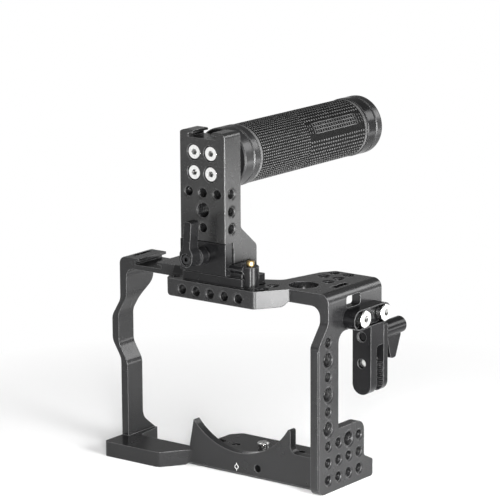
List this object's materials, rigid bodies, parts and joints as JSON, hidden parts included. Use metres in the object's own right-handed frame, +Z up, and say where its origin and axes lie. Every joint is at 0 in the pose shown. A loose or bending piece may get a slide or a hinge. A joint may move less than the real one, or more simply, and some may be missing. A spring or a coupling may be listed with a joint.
{
  "type": "camera cage with top handle",
  "caption": "Aluminium camera cage with threaded accessory holes, a quick-release top handle, a cold shoe arm and a cable clamp.",
  "frame": {"origin": "on the underside of the base, on the axis of the screw that holds the camera, below the lens axis", "axes": "+Z up; +Y from the lens towards the back of the camera; +X to the side with the cable clamp, which is the viewer's right from the front"},
  "size_m": [0.1574, 0.1615, 0.192],
  "materials": {
    "cage_anodised": "charcoal hard anodised, fine bead blasted",
    "handle_anodised": "charcoal hard anodised, fine bead blasted",
    "black_anodised": "black anodised, satin",
    "steel": "bright nickel-plated steel",
    "brass": "polished brass",
    "rubber": "matt black moulded rubber with raised studs",
    "bare_core": "plain turned aluminium"
  },
  "bodies": {
    "cage": {"cage_frame": "cage_anodised", "nato_rail": "black_anodised", "rail_screws": "steel", "pin_housing": "black_anodised", "pin_spring": "steel", "cable_arm": "black_anodised", "arm_screws": "steel", "guide_pin": "steel"},
    "camera_screw": {"camera_screw": "steel"},
    "safety_pin": {"safety_pin": "brass"},
    "handle": {"handle_post": "handle_anodised", "grip_screws": "steel", "front_collar": "black_anodised", "grip_core": "bare_core", "rubber_sleeve": "rubber", "rear_ring": "black_anodised", "end_cap": "black_anodised", "jaw_springs": "steel"},
    "clamp_jaw": {"clamp_jaw": "handle_anodised", "jaw_pins": "steel"},
    "clamp_lever": {"clamp_lever": "handle_anodised", "clamp_stud": "steel", "lever_washer": "steel", "lever_screw": "steel"},
    "cable_jaw": {"cable_jaw": "black_anodised"},
    "thumb_screw": {"thumb_screw": "black_anodised"}
  },
  "joints": [
    {"name": "camera_screw_turn", "type": "hinge", "parent": "cage", "child": "camera_screw", "pos_m": [0, 0, 0.006], "axis": [0, 0, 1], "continuous": true},
    {"name": "safety_pin_press", "type": "slide", "parent": "cage", "child": "safety_pin", "axis": [0, 0, -1], "range_m": [0, 0.0026], "stiffness_N_per_m": 600, "springref_m": -0.002, "deforming": ["pin_spring"]},
    {"name": "handle_slide", "type": "slide", "parent": "cage", "child": "handle", "axis": [1, 0, 0], "range_m": [-0.008, 0.007]},
    {"name": "jaw_slide", "type": "slide", "parent": "handle", "child": "clamp_jaw", "axis": [0, -1, 0], "range_m": [0, 0.0012], "deforming": ["jaw_springs"]},
    {"name": "lever_turn", "type": "hinge", "parent": "clamp_jaw", "child": "clamp_lever", "pos_m": [-0.0108, -0.045, 0.125], "axis": [0, -1, 0], "range_deg": [0, 540]},
    {"name": "cable_jaw_slide", "type": "slide", "parent": "cage", "child": "cable_jaw", "axis": [0, 1, 0], "range_m": [0, 0.003]},
    {"name": "thumb_screw_turn", "type": "hinge", "parent": "cable_jaw", "child": "thumb_screw", "pos_m": [0.0613, 0.03, 0.0808], "axis": [0, 1, 0], "range_deg": [0, 1350]}
  ],
  "couplings": [
    {"joint": "lever_turn", "follows": "jaw_slide", "rad_per_m": 7854},
    {"joint": "thumb_screw_turn", "follows": "cable_jaw_slide", "rad_per_m": 7854}
  ]
}
